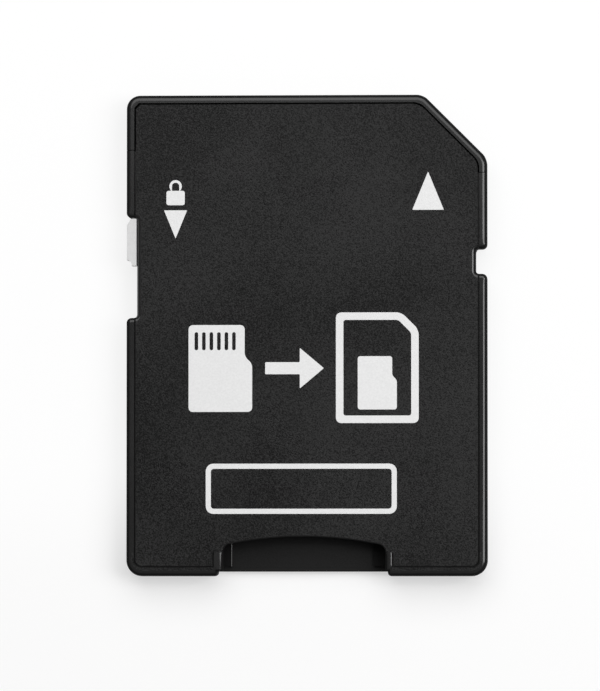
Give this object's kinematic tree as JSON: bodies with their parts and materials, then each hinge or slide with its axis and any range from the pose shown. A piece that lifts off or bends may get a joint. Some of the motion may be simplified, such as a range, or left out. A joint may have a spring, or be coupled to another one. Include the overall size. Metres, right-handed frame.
{
  "type": "memory card adapter",
  "caption": "Flat adapter in the full card size, with a cut corner, an empty slot for a small card, edge notches, a write-protect slider and gold contact pads on the back.",
  "frame": {"origin": "middle of the back face, at the bottom: the card lies flat, label face up", "axes": "+X towards the long side with the cut corner, +Y towards the contact end, +Z out of the label face"},
  "size_m": [0.024, 0.032, 0.0021],
  "materials": {
    "label_black": "fine spark-eroded texture, printed in white",
    "shell_black": "satin moulded",
    "carrier_black": "moulded",
    "contact_gold": "gold plated",
    "spring_steel": "rolled strip",
    "slider_white": "satin moulded"
  },
  "bodies": {
    "adapter": {"label_shell": "label_black", "contact_shell": "shell_black", "contact_carrier": "carrier_black", "contact_data2": "contact_gold", "contact_data3": "contact_gold", "contact_command": "contact_gold", "contact_ground": "contact_gold", "contact_supply": "contact_gold", "contact_clock": "contact_gold", "contact_data0": "contact_gold", "contact_data1": "contact_gold", "card_spring": "spring_steel"},
    "slider": {"lock_slider": "slider_white"}
  },
  "joints": [
    {"name": "lock_slide", "type": "slide", "parent": "adapter", "child": "slider", "axis": [0, -1, 0], "range_m": [0, 0.0034]}
  ]
}
